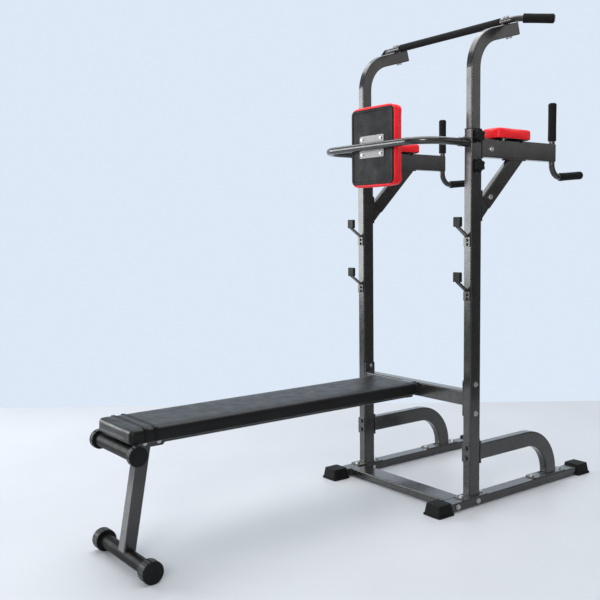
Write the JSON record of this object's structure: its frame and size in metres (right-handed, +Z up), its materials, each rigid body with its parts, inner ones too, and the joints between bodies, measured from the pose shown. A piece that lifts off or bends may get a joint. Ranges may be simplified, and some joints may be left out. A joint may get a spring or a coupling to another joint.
{
  "type": "power tower",
  "caption": "Freestanding power tower with pull-up bar, padded dip arms, backrest, bar hooks, bent rear supports and a flat bench hinged to its front crossbar.",
  "frame": {"origin": "centre of the footprint's bounding box, on the floor", "axes": "X across the tower, +Y from the bench toward the dip arms, Z up"},
  "size_m": [1.0152, 2.206, 1.9911],
  "materials": {
    "graphite_paint": "semi-gloss dark graphite powder coat",
    "red_vinyl": "smooth satin red upholstery vinyl",
    "black_vinyl": "satin black upholstery vinyl with a fine grain",
    "black_board": "black vinyl stretched over a wooden board",
    "black_foam": "matt closed-cell foam",
    "black_rubber": "matt moulded rubber",
    "black_plastic": "satin moulded plastic",
    "black_paint": "gloss black paint",
    "silver_paint": "satin silver-grey paint",
    "zinc_steel": "bright zinc plate"
  },
  "bodies": {
    "tower": {"backrest_bar": "graphite_paint", "backrest_board": "black_board", "backrest_cushion": "red_vinyl", "backrest_plate": "silver_paint", "bench_bracket": "graphite_paint", "bench_pivot_bolt": "zinc_steel", "elbow_boards": "black_board", "elbow_pad_brackets": "graphite_paint", "frame_bolts": "zinc_steel", "frame_screws": "zinc_steel", "front_cross_beam": "graphite_paint", "handle_end_plugs": "black_plastic", "hook_caps": "black_plastic", "left_arm_brace": "graphite_paint", "left_dip_arm": "graphite_paint", "left_dip_handle": "graphite_paint", "left_elbow_cushion": "red_vinyl", "left_floor_beam": "graphite_paint", "left_front_foot": "black_rubber", "left_lower_hook": "graphite_paint", "left_rear_foot": "black_rubber", "left_rear_support": "graphite_paint", "left_upper_hook": "graphite_paint", "left_upright": "graphite_paint", "lower_grips": "black_foam", "painted_bolts": "graphite_paint", "right_arm_brace": "graphite_paint", "right_dip_arm": "graphite_paint", "right_dip_handle": "graphite_paint", "right_elbow_cushion": "red_vinyl", "right_floor_beam": "graphite_paint", "right_front_foot": "black_rubber", "right_lower_hook": "graphite_paint", "right_rear_foot": "black_rubber", "right_rear_support": "graphite_paint", "right_upper_hook": "graphite_paint", "right_upright": "graphite_paint", "seat_crossbar": "graphite_paint", "support_backing_plates": "graphite_paint", "upright_collars": "black_plastic", "upright_grips": "black_foam"},
    "upper_frame": {"left_upper_tube": "graphite_paint", "right_upper_tube": "graphite_paint", "upper_end_plugs": "black_plastic", "pull_up_bar": "graphite_paint", "pull_bar_center_grip": "black_foam", "pull_bar_end_grips": "black_foam", "pull_bar_bolts": "zinc_steel"},
    "bench": {"bench_board": "black_board", "bench_cushion": "black_vinyl", "bench_floor_tube": "black_paint", "bench_leg": "graphite_paint", "bench_leg_bolts": "zinc_steel", "bench_rail": "graphite_paint", "bench_top_tube": "black_paint", "bench_tube_caps": "black_plastic"},
    "left_lower_lock_knob": {"left_lower_lock_knob": "black_plastic"},
    "left_upper_lock_knob": {"left_upper_lock_knob": "black_plastic"},
    "right_lower_lock_knob": {"right_lower_lock_knob": "black_plastic"},
    "right_upper_lock_knob": {"right_upper_lock_knob": "black_plastic"}
  },
  "joints": [
    {"name": "upper_frame_height", "type": "slide", "parent": "tower", "child": "upper_frame", "axis": [0, 0, 1], "range_m": [0, 0.116]},
    {"name": "bench_fold", "type": "hinge", "parent": "tower", "child": "bench", "pos_m": [0, 0.27, 0.457], "axis": [-1, 0, 0], "range_deg": [0, 70]},
    {"name": "left_lower_lock_knob_turn", "type": "hinge", "parent": "tower", "child": "left_lower_lock_knob", "pos_m": [-0.36, 0.33, 1.381], "axis": [-1, 0, 0], "continuous": true},
    {"name": "left_upper_lock_knob_turn", "type": "hinge", "parent": "tower", "child": "left_upper_lock_knob", "pos_m": [-0.36, 0.33, 1.497], "axis": [-1, 0, 0], "continuous": true},
    {"name": "right_lower_lock_knob_turn", "type": "hinge", "parent": "tower", "child": "right_lower_lock_knob", "pos_m": [0.36, 0.33, 1.381], "axis": [1, 0, 0], "continuous": true},
    {"name": "right_upper_lock_knob_turn", "type": "hinge", "parent": "tower", "child": "right_upper_lock_knob", "pos_m": [0.36, 0.33, 1.497], "axis": [1, 0, 0], "continuous": true}
  ]
}
